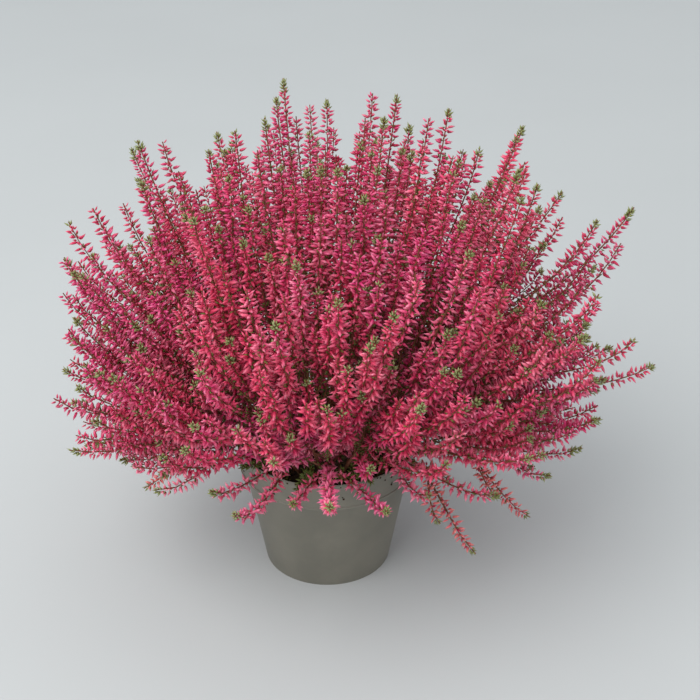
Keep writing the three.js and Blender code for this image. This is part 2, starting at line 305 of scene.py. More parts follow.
def mixColours(tree, share, first, second):
    node = addNode(tree, "ShaderNodeMix", {"data_type": "RGBA"}, {0: share, 6: first, 7: second})
    return node.outputs[2]


def noise(tree, scale, detail=3, roughness=0.5):
    place = addNode(tree, "ShaderNodeTexCoord", {}, {}).outputs["Object"]
    inputs = {"Vector": place, "Scale": scale, "Detail": detail, "Roughness": roughness}
    return Value(tree, addNode(tree, "ShaderNodeTexNoise", {}, inputs).outputs[0])


def addBump(tree, shader, height, strength, depth):
    inputs = {"Strength": strength, "Distance": depth * mm, "Height": height}
    bump = addNode(tree, "ShaderNodeBump", {}, inputs)
    tree.links.new(bump.outputs[0], shader.inputs["Normal"])


def lookOf(tree):  # a bud's or needle's tone, the place along it, and its age or kind
    layer = addNode(tree, "ShaderNodeAttribute", {"attribute_name": "look"}, {})
    parts = addNode(tree, "ShaderNodeSeparateColor", {}, {0: layer.outputs["Color"]})
    return [Value(tree, parts.outputs[i]) for i in range(3)]


petal = {
    "deep": linear((178, 22, 62)), "rose": linear((236, 74, 112)), "magenta": linear((214, 58, 126)),
    "pale": linear((250, 172, 192)), "salmon": linear((234, 146, 124)), "husk": linear((172, 92, 70)),
    "roughness": 0.5, "shine": 0.35, "freshSalmon": 0.12, "fadedSalmon": 1.0,
    "patches": {"scale": 14, "detail": 1}, "patchEdge": (0.4, 0.62),
    "brightByTone": 0.75, "brightAlong": 0.35, "darker": 0.05,
    "paleAlong": (0.55, 1), "paleByTone": 0.35, "paleByAge": 0.5, "paler": 0.12,
    "fadedAlong": 0.45, "faded": 0.35, "huskUpTo": 0.16, "huskShare": 0.75,
}


def petalMaterial(name, salmonShare):
    material, tree, shader = newMaterial(name, petal)
    tone, along, age = lookOf(tree)
    patches = noise(tree, **petal["patches"]).between(*petal["patchEdge"])
    bright = tone * petal["brightByTone"] + along * petal["brightAlong"] - petal["darker"]
    pale = tone * petal["paleByTone"] + age * petal["paleByAge"] + petal["paler"]
    faded = age * (along * petal["fadedAlong"] + petal["faded"])
    husk = (1 - along.between(0, petal["huskUpTo"])) * petal["huskShare"]
    colour = mixColours(tree, patches, petal["rose"], petal["magenta"])
    colour = mixColours(tree, bright.clamped(), petal["deep"], colour)
    colour = mixColours(tree, (along.between(*petal["paleAlong"]) * pale).clamped(), colour, petal["pale"])
    oldColour = mixColours(tree, salmonShare, petal["pale"], petal["salmon"])
    colour = mixColours(tree, faded.clamped(), colour, oldColour)
    colour = mixColours(tree, husk, colour, petal["husk"])
    tree.links.new(colour, shader.inputs["Base Color"])
    return material


leafLook = {
    "dark": linear((72, 88, 36)), "olive": linear((132, 136, 60)), "tip": linear((146, 152, 110)),
    "roughness": 0.55, "shine": 0.35, "oliveByTone": 0.6, "oliveByKind": 0.5,
    "tipByKind": (0.5, 1), "tipAlong": 0.5, "tipShare": 0.45,
}


def leafMaterial():
    material, tree, shader = newMaterial("leaf", leafLook)
    tone, along, kind = lookOf(tree)
    olive = tone * leafLook["oliveByTone"] + kind * leafLook["oliveByKind"]
    tip = kind.between(*leafLook["tipByKind"]) * (along * leafLook["tipAlong"] + leafLook["tipShare"])
    colour = mixColours(tree, olive.clamped(), leafLook["dark"], leafLook["olive"])
    colour = mixColours(tree, tip.clamped(), colour, leafLook["tip"])
    tree.links.new(colour, shader.inputs["Base Color"])
    return material


twigLook = {
    "woody": linear((88, 58, 40)), "young": linear((150, 88, 64)), "roughness": 0.7, "shine": 0.3,
    "mottle": {"scale": 900}, "mottleEdge": (0.35, 0.65), "bump": {"strength": 0.4, "depth": 0.2},
}


def twigMaterial():
    material, tree, shader = newMaterial("twig", twigLook)
    mottle = noise(tree, **twigLook["mottle"])
    colour = mixColours(tree, mottle.between(*twigLook["mottleEdge"]), twigLook["woody"], twigLook["young"])
    tree.links.new(colour, shader.inputs["Base Color"])
    addBump(tree, shader, mottle, **twigLook["bump"])
    return material


peatLook = {
    "dark": linear((24, 17, 12)), "light": linear((78, 58, 40)), "roughness": 0.95, "shine": 0.2,
    "grain": {"scale": 260, "detail": 6, "roughness": 0.65}, "grainEdge": (0.38, 0.72),
    "bump": {"strength": 0.9, "depth": 1.2},
}


def peatMaterial():
    material, tree, shader = newMaterial("peat", peatLook)
    grain = noise(tree, **peatLook["grain"])
    colour = mixColours(tree, grain.between(*peatLook["grainEdge"]), peatLook["dark"], peatLook["light"])
    tree.links.new(colour, shader.inputs["Base Color"])
    addBump(tree, shader, grain, **peatLook["bump"])
    return material


taupeLook = {
    "base": linear((110, 107, 96)), "dusty": linear((136, 131, 118)), "roughness": 0.48, "shine": 0.5,
    "cloud": {"scale": 22, "detail": 5, "roughness": 0.6}, "cloudEdge": (0.42, 0.72), "dust": 0.6,
    "smoothest": 0.34, "rougherBy": 0.25,
    "grain": {"scale": 1500, "detail": 2}, "bump": {"strength": 0.25, "depth": 0.1},
}


def taupeMaterial():
    material, tree, shader = newMaterial("taupePlastic", taupeLook)
    cloud = noise(tree, **taupeLook["cloud"])
    dust = cloud.between(*taupeLook["cloudEdge"]) * taupeLook["dust"]
    colour = mixColours(tree, dust, taupeLook["base"], taupeLook["dusty"])
    tree.links.new(colour, shader.inputs["Base Color"])
    roughness = cloud * taupeLook["rougherBy"] + taupeLook["smoothest"]
    tree.links.new(roughness.socket, shader.inputs["Roughness"])
    addBump(tree, shader, noise(tree, **taupeLook["grain"]), **taupeLook["bump"])
    return material


floorLook = {
    "pale": linear((181, 184, 183)), "paler": linear((184, 187, 186)), "roughness": 0.8, "shine": 0.2,
    "cloud": {"scale": 3, "detail": 4}, "cloudEdge": (0.4, 0.6), "cloudShare": 0.5,
}


def floorMaterial():
    material, tree, shader = newMaterial("paleFloor", floorLook)
    share = noise(tree, **floorLook["cloud"]).between(*floorLook["cloudEdge"]) * floorLook["cloudShare"]
    colour = mixColours(tree, share, floorLook["pale"], floorLook["paler"])
    tree.links.new(colour, shader.inputs["Base Color"])
    return material


petals = petalMaterial("petals", petal["freshSalmon"])
fadedPetals = petalMaterial("fadedPetals", petal["fadedSalmon"])
leaf = leafMaterial()
twig = twigMaterial()
peat = peatMaterial()
taupe = taupeMaterial()
ground.data.materials.append(floorMaterial())
report("materials are made")


# Forms that repeat, each modelled once: a bud and a needle from 0 to 1 along Z, a crumb about its middle

sphereRings = {"count": 3, "low": 0.25, "high": 0.75}  # where a unit sphere has its rings of points
budShape = {"sepals": 4, "low": (0.2, 0.46), "high": (0.6, 0.42), "plain": (0.38, 0.5)}  # height, radius
needleShape = {"sides": 4, "widest": (0.4, 0.5)}
crumbShape = {"squareness": 0.35}


def moveRing(piece, now, height, radius):  # brings a ring of points to another height and radius
    ring = [point.co.copy() for point in piece.data.vertices if abs(point.co.z - now) < nearly]
    widen = radius / math.hypot(ring[0].x, ring[0].y)
    pickParts(piece, "VERT", lambda point: abs(point.co.z - now) < nearly)
    bpy.ops.transform.resize(value=(widen, widen, 1))
    bpy.ops.transform.translate(value=(0, 0, height - ring[0].z))
    bpy.ops.object.mode_set(mode="OBJECT")


def modelBud():  # a closed spindle, round at its foot and pointed
    deselectAll()
    bpy.ops.mesh.primitive_uv_sphere_add(
        segments=budShape["sepals"], ring_count=sphereRings["count"], radius=0.5, location=(0, 0, 0.5),
    )
    bud = bpy.context.object
    settle(bud)
    moveRing(bud, sphereRings["low"], *budShape["low"])
    moveRing(bud, sphereRings["high"], *budShape["high"])
    return asForm(bud)


def modelSpindle(height, radius):  # pointed at both ends, and widest at one ring
    deselectAll()
    bpy.ops.mesh.primitive_cone_add(
        vertices=needleShape["sides"], radius1=radius, radius2=0, depth=1 - height,
        end_fill_type="TRIFAN", location=(0, 0, (1 + height) / 2),
    )
    spindle = bpy.context.object
    settle(spindle)
    pickParts(spindle, "VERT", lambda point: point.co.z < 1 - nearly and point.co.xy.length < nearly)
    bpy.ops.transform.translate(value=(0, 0, -height))
    return asForm(spindle)


def modelCrumb():
    deselectAll()
    bpy.ops.mesh.primitive_ico_sphere_add(subdivisions=1, radius=0.5)
    crumb = bpy.context.object
    applyModifier(crumb, "CAST", cast_type="CUBOID", factor=crumbShape["squareness"])
    return asForm(crumb)


budForm = modelBud()
plainBudForm = modelSpindle(*budShape["plain"])  # for the flowers deep inside the plant
needleForm = modelSpindle(*needleShape["widest"])
crumbForm = modelCrumb()
boxLow, boxHigh = (np.array(list(corner)) for corner in cadBox)
steep = 0.9  # an axis that is more upright than this is crossed with X instead of Z


def copies(form, rows):  # rows of place, axis, width, length, tone and kind
    place, axis = rows[:, 0:3], unit(rows[:, 3:6])
    width, length = rows[:, 6, None, None], rows[:, 7, None, None]
    spare = np.where(np.abs(axis[:, 2:3]) < steep, [[0.0, 0.0, 1.0]], [[1.0, 0.0, 0.0]])
    across = unit(np.cross(spare, axis))
    third = np.cross(axis, across)
    shape = form["points"]
    points = place[:, None] + length * shape[None, :, 2:3] * axis[:, None]
    points += width * shape[None, :, 0:1] * across[:, None]
    points += width * shape[None, :, 1:2] * third[:, None]
    count, each = len(rows), len(shape)
    faces = (form["faces"][None] + (np.arange(count) * each)[:, None, None]).reshape(-1, 3)
    points = np.clip(points * mm, boxLow, boxHigh)  # no leaf stands out past the part's own box
    look = np.empty((count, each, 3))
    look[:, :, 0] = rows[:, 8:9]
    look[:, :, 1] = shape[None, :, 2]
    look[:, :, 2] = rows[:, 9:10]
    return points.reshape(-1, 3), faces, look.reshape(-1, 3)


# How the plant spreads: the same rule as its solids

plant = {
    "seed": 20, "sprays": 38, "rootSpread": 38, "fanAtFront": 0.28,
    "widestLean": math.radians(92), "frontLean": math.radians(66),
    "crest": 240, "droop": 100, "droopFrom": math.radians(35), "droopTo": math.radians(112),
    "shortest": 0.86, "frontShare": 0.93, "rightShare": 1.04, "leftShare": 0.95,
}
stem = {
    "upright": 15.7, "spread": 1.1, "mostLean": math.radians(35),
    "turnUp": (0.6, 1), "turnUpUntil": math.radians(50),
    "leastBare": 62, "pastRim": 46, "reachIn": 0.5, "reachOut": 0.34, "foot": 57,
}
spike = {"pitch": 8, "rings": 13, "leastRings": 4, "tuft": 10}
sideSpike = {
    "rings": 6, "apart": math.radians(9), "mostApart": math.radians(13), "pastLowest": math.radians(3),
    "rounds": 40, "pushReach": 0.6, "pushPower": 5, "step": math.radians(0.4),
    "share": (0.9, 0.76, 0.66), "branchBefore": (38, 28, 20),
    "splay": math.radians(36), "handle": 0.33, "leastBare": 30,
}
crown = np.array([0.0, 0.0, 71.0])  # the middle of the soil's surface


def lowestLean(azimuth):
    return lerp(plant["widestLean"], plant["frontLean"], ((1 - math.sin(azimuth)) / 2) ** 2)


def reachAt(lean, azimuth):
    droop = plant["droop"] * smoothstep(lean, plant["droopFrom"], plant["droopTo"])
    side = math.sin(lean) * math.cos(azimuth)
    sideShare = lerp(1, plant["rightShare"], side) if side > 0 else lerp(1, plant["leftShare"], -side)
    front = math.sin(lean) * min(max(-math.sin(azimuth), 0), 1)
    return (plant["crest"] - droop) * sideShare * lerp(1, plant["frontShare"], front)


def heldNear(own, tip):  # in the ring round its spray, and not much below the lowest sprays
    across = unit(tip - own * (tip @ own))
    apart = min(max(math.acos(tip @ own), sideSpike["apart"]), sideSpike["mostApart"])
    held = own * math.cos(apart) + across * math.sin(apart)
    lowest = lowestLean(math.atan2(held[1], held[0])) + sideSpike["pastLowest"]
    held[2] = max(held[2], math.cos(lowest))
    return unit(held)


def spreadSides(sprays):  # side spikes move apart until they fill the gaps between sprays
    owns = np.array([heading(spray["lean"], spray["azimuth"]) for spray in sprays])
    count = len(sideSpike["share"])
    sides = []
    for k, spray in enumerate(sprays):
        outward = heading(spray["lean"] + math.pi / 2, spray["azimuth"])
        for j in range(count):
            turn = k * goldenAngle + j * 2 * math.pi / count
            across = sidewaysOf(spray["azimuth"]) * math.cos(turn) + outward * math.sin(turn)
            sides.append(heldNear(owns[k], unit(owns[k] + math.tan(sideSpike["apart"]) * across)))
    sides = np.array(sides)
    for _ in range(sideSpike["rounds"]):
        for i in range(len(sides)):
            away = sides[i] - np.vstack([owns, sides])
            gap = np.linalg.norm(away, axis=1)
            near = (gap > 0) & (gap < sideSpike["pushReach"])
            push = (away[near] / gap[near, None] ** sideSpike["pushPower"]).sum(0)
            push = unit(push - sides[i] * (push @ sides[i]))
            sides[i] = heldNear(owns[i // count], unit(sides[i] + push * sideSpike["step"]))
    for k, spray in enumerate(sprays):
        spray["tips"] = sides[k * count:(k + 1) * count]


def layOutSprays():
    draw = makeDraw(plant["seed"])
    sprays = []
    for k in range(plant["sprays"]):
        share = (k + 0.5) / plant["sprays"]
        even = k * goldenAngle
        azimuth = even + plant["fanAtFront"] * math.sin(even + math.pi / 2)
        lean = math.acos(1 - share * (1 - math.cos(lowestLean(azimuth))))
        reach = reachAt(lean, azimuth) * lerp(plant["shortest"], 1, draw())
        root = plant["rootSpread"] * math.sqrt(share)
        sprays.append({"azimuth": azimuth, "lean": lean, "reach": reach, "root": root})
    spreadSides(sprays)
    return sprays


def footOf(radius, azimuth):
    return np.array([radius * math.cos(azimuth), radius * math.sin(azimuth), stem["foot"]])


def stemLine(foot, tip, startLean, endLean, azimuth, reachIn=stem["reachIn"]):
    rise = foot + (0, 0, stem["upright"])
    span = np.linalg.norm(tip - rise)
    near = rise + heading(startLean, azimuth) * reachIn * span
    far = tip - heading(endLean, azimuth) * stem["reachOut"] * span
    return Line(np.vstack([foot, bezier(rise, near, far, tip)]))


def branchLine(base, along, across, sideTip, endLean, azimuth):
    handle = sideSpike["handle"] * np.linalg.norm(sideTip - base)
    splay = sideSpike["splay"]
    near = base + along * handle * math.cos(splay) + across * handle * math.sin(splay)
    far = sideTip - heading(endLean, azimuth) * handle
    return Line(bezier(base, near, far, sideTip))


def ringsThatFit(line, leastBare):
    return max(spike["leastRings"], math.floor((line.length - leastBare - spike["tuft"]) / spike["pitch"]))


def endLeanOf(lean, turnUp=stem["turnUp"]):  # spikes turn up towards their tips, unless they lean far out
    return lean * lerp(*turnUp, smoothstep(lean, stem["turnUpUntil"], math.pi / 2))


# What grows on a stem, in rings about a pitch apart

shootLeaves = {  # what the kinds below share: tilts in degrees and shares of the size run from foot to tip
    "around": 2, "pedicel": 0, "crowding": 1, "shares": (1, 0.8), "taperFrom": 0.6,
}
budLook = {
    **shootLeaves, "pitch": 2.05, "width": 1.95, "length": 5.1, "pedicel": 0.6, "scatter": 0.17,
    "crowding": 1.3, "tilts": (96, 54), "shares": (0.8, 0.66),
}
youngBudLook = {
    **shootLeaves, "pitch": 5, "width": 1.5, "length": 3.4, "pedicel": 0.3, "scatter": 0.35,
    "tilts": (70, 40), "tone": 0.12, "kind": 0,
}
bractLook = {
    **shootLeaves, "pitch": 9, "width": 1.1, "length": 3.4, "pedicel": 0.2, "scatter": 0.35,
    "tilts": (66, 40), "tone": 0.4, "kind": 0.3,
}
tuftLook = {
    **shootLeaves, "pitch": 1.2, "around": 4, "width": 1.3, "length": 3.6, "scatter": 0.14,
    "tilts": (56, 16), "shares": (0.9, 0.8), "taperFrom": 0.4, "tone": 0.5, "kind": 0.85,
}
needleLook = {
    **shootLeaves, "pitch": 4.4, "width": 1.1, "length": 3.4, "scatter": 0.22,
    "tilts": (54, 54), "shares": (1, 1), "taperFrom": 0.5, "tone": 0.3, "kind": 0.1,
}
uneven = {
    "twist": 0.23, "grownFrom": 0.2, "size": 0.1, "sizeLimits": (-0.25, 0.2),
    "along": 0.5, "tone": 0.2, "kind": 0.12,
}
clothing = {
    "tipRoom": 3,  # the last leaves start this far below a shoot's end, and reach it
    "deepFrom": 32,  # flowers further than this below a shoot's tip are hidden by its neighbours, and plainer
    "leafy": 24,  # leaves are seen for this long below the flowers
    "aboveSoil": 2, "leastLeafy": 5, "leastTuft": 4,
}
twigShape = {"tipRadius": 0.35, "pitch": 11, "leastPoints": 5, "shortOfTip": 1}


def whorls(line, sideways, start, end, form, dice):
    lowTilt, highTilt = (math.radians(tilt) for tilt in form["tilts"])
    firstShare, tipShare = form["shares"]
    count = max(1, round((end - start) / form["pitch"]))
    share = (np.arange(count) + 0.5) / count
    at = start + (1 - (1 - share) ** form["crowding"]) * (end - start)  # closer towards the tip
    centre, tangent = line.placeAt(at), line.directionAt(at)
    across = unit(sideways - tangent * (tangent @ sideways)[:, None])
    third = np.cross(tangent, across)
    turnOver = np.arange(count) * (math.pi / form["around"] + uneven["twist"])
    grown = lerp(firstShare, 1, smoothstep(share, 0, uneven["grownFrom"]))
    grown = grown * lerp(1, tipShare, smoothstep(share, form["taperFrom"], 1))
    blocks = []
    for j in range(form["around"]):
        angle = turnOver + j * 2 * math.pi / form["around"] + dice.normal(0, form["scatter"], count)
        out = across * np.cos(angle)[:, None] + third * np.sin(angle)[:, None]
        tilt = lerp(lowTilt, highTilt, share ** 2) + dice.normal(0, form["scatter"], count)
        axis = out * np.sin(tilt)[:, None] + tangent * np.cos(tilt)[:, None]
        size = grown * (1 + np.clip(dice.normal(0, uneven["size"], count), *uneven["sizeLimits"]))
        spot = centre + out * (twigShape["tipRadius"] + form["pedicel"])
        spot = spot + tangent * dice.normal(0, uneven["along"], count)[:, None]
        tones = np.clip(form["tone"] + dice.normal(0, uneven["tone"], count), 0, 1)
        kinds = np.clip(form["kind"] + dice.normal(0, uneven["kind"], count), 0, 1)
        width, length = form["width"] * size, form["length"] * size
        blocks.append(np.column_stack([spot, axis, width, length, tones, kinds]))
    return np.vstack(blocks)


def newGrowth():
    return {"buds": [], "plainBuds": [], "needles": [], "twigs": []}


def grow(growth, line, sideways, dice, tone, age, bare, tuft, thick):  # one flowered shoot
    def ringed(start, end, form):
        return whorls(line, sideways, start, end, form, dice)

    growth["twigs"].append((line, thick))
    tuftFrom = line.length - tuft
    rows = ringed(bare, tuftFrom, {**budLook, "tone": tone, "kind": age})
    deep = np.linalg.norm(rows[:, :3] - line.points[-1], axis=1) > clothing["deepFrom"]
    growth["buds"].append(rows[~deep])
    growth["plainBuds"].append(rows[deep])
    growth["plainBuds"].append(ringed(bare, tuftFrom, youngBudLook))
    growth["needles"].append(ringed(bare, tuftFrom, bractLook))
    if tuft > clothing["leastTuft"]:
        growth["needles"].append(ringed(tuftFrom, line.length - clothing["tipRoom"], tuftLook))
    startsInSoil = line.points[0][2] < crown[2] - 1
    leafyFrom = stem["upright"] + clothing["aboveSoil"] if startsInSoil else 0
    leafyFrom = max(leafyFrom, bare - clothing["leafy"])
    if bare > leafyFrom + clothing["leastLeafy"]:
        growth["needles"].append(ringed(leafyFrom, bare, needleLook))


def twigTubes(name, twigs):  # stems along their lines, thinner towards the tips
    curve = bpy.data.curves.new(name, "CURVE")
    curve.dimensions = "3D"
    curve.bevel_depth = mm
    curve.bevel_resolution = 0
    curve.use_fill_caps = True
    for line, thick in twigs:
        count = max(twigShape["leastPoints"], round(line.length / twigShape["pitch"]))
        at = np.linspace(0, line.length - twigShape["shortOfTip"], count)
        spline = curve.splines.new("POLY")
        spline.points.add(count - 1)
        spline.points.foreach_set("co", np.column_stack([line.placeAt(at) * mm, np.ones(count)]).ravel())
        spline.points.foreach_set("radius", np.linspace(thick, twigShape["tipRadius"], count))
    tubes = bpy.data.objects.new(name, curve)
    bpy.context.collection.objects.link(tubes)
    pickOnly(tubes)
    bpy.ops.object.convert(target="MESH")
    tubes = bpy.context.object
    tubes.data.attributes.new("look", "FLOAT_COLOR", "POINT")
    tubes.data.materials.append(twig)
    tubes.data.materials.append(leaf)
    return tubes


def flowerMesh(name, growth):
    points, faces, look = copies(budForm, np.vstack(growth["buds"]))
    deepPoints, deepFaces, deepLook = copies(plainBudForm, np.vstack(growth["plainBuds"]))
    faces = np.vstack([faces, deepFaces + len(points)])
    return meshFrom(name, np.vstack([points, deepPoints]), faces, np.vstack([look, deepLook]))


def dress(growth, twigName, node=None, flowerName=None, flowerMaterial=petals):
    if flowerName:
        flowers = flowerMesh(flowerName, growth)
        flowers.data.materials.append(flowerMaterial)
        handOver(flowers, node)
    tubes = twigTubes(twigName, growth["twigs"])
    needles = meshFrom("needles", *copies(needleForm, np.vstack(growth["needles"])))
    needles.data.materials.append(leaf)
    pickOnly(tubes)
    needles.select_set(True)
    bpy.ops.object.join()
    handOver(tubes, node)


# The sprays, each with the short spikes that stand round it

sprayLook = {
    "seed": 100, "tone": (0.3, 0.65), "tuft": (6, 11), "thick": 1.3, "sideTuft": (5, 10), "sideThick": 0.8,
    "extraFlowers": 26,  # side spikes flower this much further down than their solids
    "leastBare": 0.12,
}
fading = {"most": 0.55, "least": 0.12, "scatter": 0.1, "heights": (135, 85)}  # flowers are older low down
fillers = {
    "seed": 9, "count": 640, "scatter": math.radians(2.5), "turnUp": (0.42, 0.85), "boxRoom": 5,
    "reach": (0.7, 0.86), "long": 0.16, "longReach": (0.86, 0.93),
    "innerCount": 24, "innerLean": (math.radians(6), math.radians(58)), "innerReach": (0.5, 0.64),
    "tries": 4, "branchOver": 20, "shortest": 30, "flowered": 54, "leastBare": 0.2,
    "tufted": 0.5, "tuft": (4, 8), "thick": 0.7, "toneScatter": 0.1,
}
rimView = {
    "radius": 54.5, "near": (-10, 12), "top": 84, "room": 9,
    "beyond": 3, "frontRoom": 11, "rise": 0.7, "front": (0.2, 0.75), "sideDrop": 60,
}


def clearsPot(line):  # stays off the rim, and off the view of it from the front
    x, y, z = line.points.T
    radius = np.hypot(x, y)
    beyond = radius - rimView["radius"]
    over = (beyond > rimView["near"][0]) & (beyond < rimView["near"][1])
    if over.any() and z[over].min() < rimView["top"] + rimView["room"]:
        return False
    front = smoothstep(-y / np.maximum(radius, 1), *rimView["front"])
    lowest = rimView["top"] + rimView["frontRoom"] + rimView["rise"] * front * beyond
    lowest = lowest - rimView["sideDrop"] * (1 - front)
    return not np.any((beyond > rimView["beyond"]) & (z < lowest))


def ageAt(place, dice):
    age = fading["most"] * smoothstep(place[2], *fading["heights"]) + fading["least"]
    return float(np.clip(age + dice.normal(0, fading["scatter"]), 0, 1))


def layOutFillers(sprays):  # many short spikes, spread evenly, each on the spray that stands nearest
    dice = np.random.RandomState(fillers["seed"])
    owns = np.array([heading(spray["lean"], spray["azimuth"]) for spray in sprays])
    for spray in sprays:
        spray["fillers"] = []

    def addFiller(azimuth, lean, reach):
        nearest = int(np.argmax(owns @ heading(lean, azimuth)))
        sprays[nearest]["fillers"].append({"azimuth": azimuth, "lean": lean, "reach": reach})

    for i in range(fillers["count"]):
        azimuth = i * goldenAngle + dice.normal(0, fillers["scatter"])
        lean = math.acos(1 - (i + 0.5) / fillers["count"] * (1 - math.cos(lowestLean(azimuth))))
        lean = abs(lean + dice.normal(0, fillers["scatter"]))
        reaches = fillers["longReach"] if dice.uniform() < fillers["long"] else fillers["reach"]
        place = heading(lean, azimuth)
        limits = np.where(place > 0, boxHigh, boxLow) / mm - crown
        room = np.min(np.abs(limits) / np.maximum(np.abs(place), nearly)) - fillers["boxRoom"]
        addFiller(azimuth, lean, min(reachAt(lean, azimuth) * dice.uniform(*reaches), room))
    for i in range(fillers["innerCount"]):  # lower ones that close the plant's middle
        azimuth = (i + 0.5) * goldenAngle
        lean = lerp(*fillers["innerLean"], math.sqrt((i + 0.5) / fillers["innerCount"]))
        addFiller(azimuth, lean, reachAt(lean, azimuth) * dice.uniform(*fillers["innerReach"]))


def growFiller(growth, filler, line, flowersFrom, own, dice, tone):
    direction = heading(filler["lean"], filler["azimuth"])
    sideTip = crown + direction * filler["reach"]
    across = unit(direction - own * (direction @ own))
    endLean = endLeanOf(filler["lean"], fillers["turnUp"])
    for _ in range(fillers["tries"]):
        highest = max(flowersFrom, stem["pastRim"] + fillers["branchOver"])
        branchFrom = lerp(stem["pastRim"], highest, dice.uniform(0, 1))
        base, along = line.placeAt(branchFrom), line.directionAt(branchFrom)
        branch = branchLine(base, along, across, sideTip, endLean, filler["azimuth"])
        if branch.length > fillers["shortest"] and clearsPot(branch):
            bare = max(fillers["leastBare"] * branch.length, branch.length - fillers["flowered"])
            tufted = dice.uniform() < fillers["tufted"]
            tuft = dice.uniform(*fillers["tuft"]) if tufted else clothing["tipRoom"]
            shade = tone + dice.normal(0, fillers["toneScatter"])
            sideways = sidewaysOf(filler["azimuth"])
            grow(growth, branch, sideways, dice, shade, ageAt(sideTip, dice), bare, tuft, fillers["thick"])
            return


def growSides(growth, spray, line, flowersFrom, own, endLean, dice, tone):
    azimuth = spray["azimuth"]
    for side, direction in enumerate(spray["tips"]):
        across = unit(direction - own * (direction @ own))
        branchFrom = max(flowersFrom - sideSpike["branchBefore"][side], stem["pastRim"])
        base, along = line.placeAt(branchFrom), line.directionAt(branchFrom)
        sideTip = crown + direction * spray["reach"] * sideSpike["share"][side]
        branch = branchLine(base, along, across, sideTip, endLean, azimuth)
        rings = min(sideSpike["rings"], ringsThatFit(branch, sideSpike["leastBare"]))
        bare = branch.length - rings * spike["pitch"] - spike["tuft"] - sprayLook["extraFlowers"]
        bare = max(bare, sprayLook["leastBare"] * branch.length)
        tuft, thick = dice.uniform(*sprayLook["sideTuft"]), sprayLook["sideThick"]
        grow(growth, branch, sidewaysOf(azimuth), dice, tone, ageAt(sideTip, dice), bare, tuft, thick)


def growSpray(spray, number):
    dice = np.random.RandomState(sprayLook["seed"] + number)
    azimuth, lean = spray["azimuth"], spray["lean"]
    own = heading(lean, azimuth)
    tip = crown + own * spray["reach"]
    startLean = min(stem["spread"] * lean, stem["mostLean"])
    endLean = endLeanOf(lean)
    line = stemLine(footOf(spray["root"], azimuth), tip, startLean, endLean, azimuth)
    rings = min(spike["rings"], ringsThatFit(line, stem["leastBare"]))
    flowersFrom = line.length - rings * spike["pitch"] - spike["tuft"]
    growth = newGrowth()
    tone = dice.uniform(*sprayLook["tone"])
    tuft, thick = dice.uniform(*sprayLook["tuft"]), sprayLook["thick"]
    grow(growth, line, sidewaysOf(azimuth), dice, tone, ageAt(tip, dice), flowersFrom, tuft, thick)
    growSides(growth, spray, line, flowersFrom, own, endLean, dice, tone)
    for filler in spray["fillers"]:
        growFiller(growth, filler, line, flowersFrom, own, dice, tone)
    dress(growth, f"twigs_{number:02d}", f"flower_spray_{number:02d}", f"flowers_{number:02d}")


sprays = layOutSprays()
layOutFillers(sprays)
for number, spray in enumerate(sprays, 1):
    growSpray(spray, number)
report("sprays are grown")


# Low shoots that close the plant above the rim

lowShoots = {
    "seed": 7, "count": 30, "scatter": 0.3, "root": 43, "rootShare": (0.5, 1), "reach": (52, 96),
    "lean": (math.radians(42), math.radians(78)), "frontLean": math.radians(54), "startLean": 0.2,
    "leastBare": 22, "bareShare": 0.35, "tuft": 5, "thick": 0.9, "tone": (0.3, 0.65),
    "sideFrom": 0.4, "sideRise": 0.4, "sideOut": (10, 22), "sideBack": (4, 16),
    "side": {"bare": 6, "tuft": 4, "thick": 0.6},
}


def growLowSides(growth, line, tip, lean, azimuth, dice, tone):
    sideways = sidewaysOf(azimuth)
    start = line.length * lowShoots["sideFrom"]
    base, along = line.placeAt(start), line.directionAt(start)
    for sign in (1, -1):
        across = unit(sideways * sign + np.array([0, 0, lowShoots["sideRise"]]))
        sideTip = tip + across * dice.uniform(*lowShoots["sideOut"])
        sideTip = sideTip - heading(lean, azimuth) * dice.uniform(*lowShoots["sideBack"])
        branch = branchLine(base, along, across, sideTip, lean, azimuth)
        if clearsPot(branch):
            grow(growth, branch, sideways, dice, tone, ageAt(sideTip, dice), **lowShoots["side"])


def growLowShoots():
    dice = np.random.RandomState(lowShoots["seed"])
    growth = newGrowth()
    for i in range(lowShoots["count"]):
        place = i + dice.uniform(-lowShoots["scatter"], lowShoots["scatter"])
        azimuth = place * 2 * math.pi / lowShoots["count"]
        front = max(0, -math.sin(azimuth)) ** 2
        widest = lerp(lowShoots["lean"][1], lowShoots["frontLean"], front)
        lean = dice.uniform(lowShoots["lean"][0], widest)
        tip = crown + heading(lean, azimuth) * dice.uniform(*lowShoots["reach"])
        foot = footOf(lowShoots["root"] * dice.uniform(*lowShoots["rootShare"]), azimuth)
        line = stemLine(foot, tip, lowShoots["startLean"], lean, azimuth)
        if clearsPot(Line(line.points[1:])):  # its foot is in the soil
            bare = max(lowShoots["leastBare"], lowShoots["bareShare"] * line.length)
            tone = dice.uniform(*lowShoots["tone"])
            tuft, thick = lowShoots["tuft"], lowShoots["thick"]
            grow(growth, line, sidewaysOf(azimuth), dice, tone, ageAt(tip, dice), bare, tuft, thick)
            growLowSides(growth, line, tip, lean, azimuth, dice, tone)
    dress(growth, "lowTwigs", flowerName="lowFlowers")


growLowShoots()
report("low shoots are grown")


# Green sprigs that fill the pot up to its rim

sprigs = {
    "seed": 21, "count": 54, "radius": (18, 47), "rise": (16, 25), "splay": 5, "scatter": 2, "foot": 66,
    "points": 5, "thick": 0.7, "bare": 4, "shortOfTip": 1,
}
sprigNeedles = {
    **shootLeaves, "pitch": 1.9, "around": 3, "width": 1.3, "length": 4.4, "scatter": 0.2,
    "tilts": (58, 20), "shares": (0.8, 0.8), "taperFrom": 0.5, "tone": 0.5, "kind": 0.35,
}


